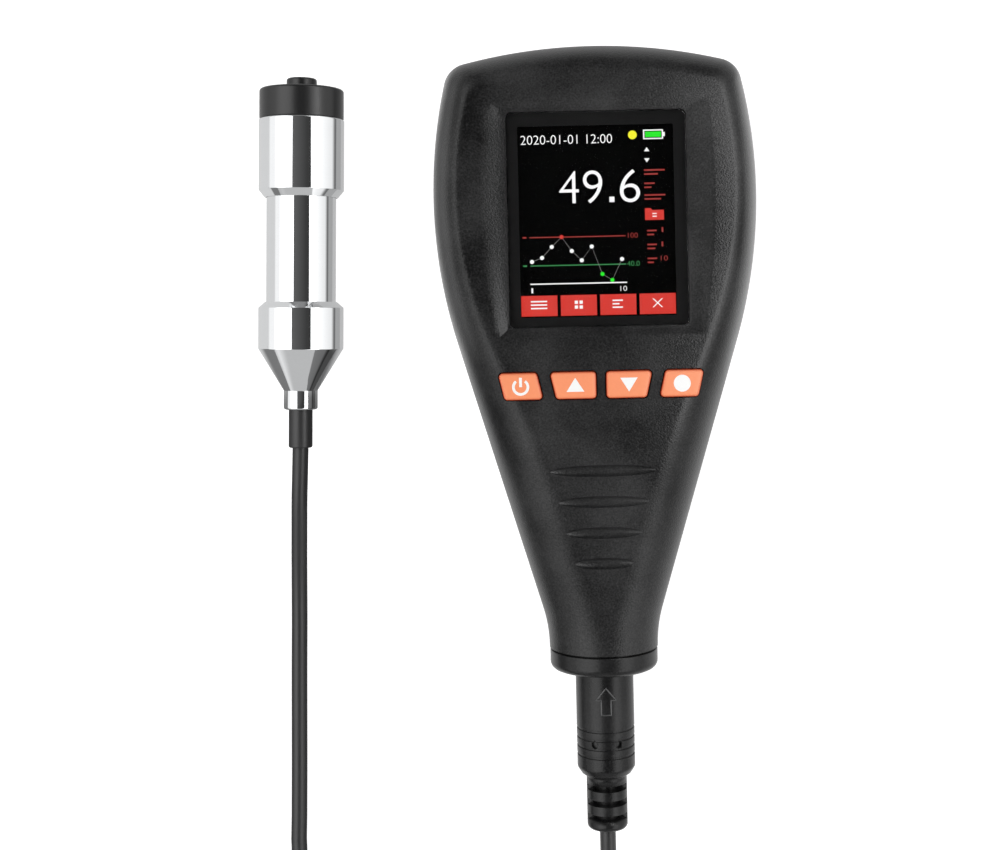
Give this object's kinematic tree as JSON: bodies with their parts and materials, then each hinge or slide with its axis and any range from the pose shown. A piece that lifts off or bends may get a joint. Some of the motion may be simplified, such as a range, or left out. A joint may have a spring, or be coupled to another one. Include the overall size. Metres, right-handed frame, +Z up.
{
  "type": "coating thickness gauge",
  "caption": "Handheld coating thickness gauge with a colour display, orange rubber keys, a grooved grip and a wired probe with a sprung measuring tip.",
  "frame": {"origin": "on the table under the unit, on its long axis and at the middle of its length with the collar", "axes": "+X to the right of the screen, +Y to the top of the screen, +Z up from the table"},
  "size_m": [0.1095, 0.2396, 0.0302],
  "materials": {
    "housing": "fine spark-eroded grain, matte",
    "collar": "satin overmoulding",
    "nose": "matte",
    "window": "clear pane, dark behind",
    "display": "smooth",
    "board": "solder mask",
    "mat": "matte",
    "keys": "matte silicone",
    "steel": "plain",
    "inner_plastic": "plain",
    "cells": "wrapped can",
    "brass": "bright",
    "copper": "enamelled wire",
    "chrome": "polished plating",
    "cable": "satin jacket",
    "tie": "matte"
  },
  "bodies": {
    "housing": {"front_shell": "housing", "rear_shell": "housing", "battery_cover": "housing", "end_collar": "collar", "display_window": "window", "display_module": "display", "main_board": "board", "socket_ribbon": "board", "keypad_mat": "mat", "contact_domes": "steel", "cover_screw": "steel", "case_screws": "steel", "board_screws": "steel", "battery_springs": "steel", "battery_plates": "steel", "beeper": "inner_plastic", "lead_socket": "inner_plastic", "battery_cells": "cells"},
    "power_key": {"key_power": "keys"},
    "up_key": {"key_up": "keys"},
    "down_key": {"key_down": "keys"},
    "record_key": {"key_record": "keys"},
    "lead": {"plug_body": "collar", "plug_tube": "steel", "plug_pins": "brass", "lead_near": "cable", "lead_coil": "cable", "coil_tie": "tie", "lead_far": "cable", "cable_sleeve": "collar", "probe_tail": "chrome", "probe_barrel": "chrome", "probe_front_collar": "chrome", "probe_nose": "nose", "guide_bush": "brass", "tip_spring": "steel"},
    "tip": {"measuring_tip": "nose", "sensor_core": "steel", "sensor_winding": "copper"}
  },
  "joints": [
    {"name": "power_press", "type": "slide", "parent": "housing", "child": "power_key", "axis": [0, 0, -1], "range_m": [0, 0.0005], "stiffness_N_per_m": 1500, "springref_m": -0.0001},
    {"name": "up_press", "type": "slide", "parent": "housing", "child": "up_key", "axis": [0, 0, -1], "range_m": [0, 0.0005], "stiffness_N_per_m": 1500, "springref_m": -0.0001},
    {"name": "down_press", "type": "slide", "parent": "housing", "child": "down_key", "axis": [0, 0, -1], "range_m": [0, 0.0005], "stiffness_N_per_m": 1500, "springref_m": -0.0001},
    {"name": "record_press", "type": "slide", "parent": "housing", "child": "record_key", "axis": [0, 0, -1], "range_m": [0, 0.0005], "stiffness_N_per_m": 1500, "springref_m": -0.0001},
    {"name": "plug_pull", "type": "slide", "parent": "housing", "child": "lead", "axis": [0, -1, 0], "range_m": [0, 0.012]},
    {"name": "tip_press", "type": "slide", "parent": "lead", "child": "tip", "axis": [-0.025, -0.9997, 0], "range_m": [0, 0.0018], "stiffness_N_per_m": 300, "springref_m": -0.001, "deforming": ["tip_spring"]}
  ]
}
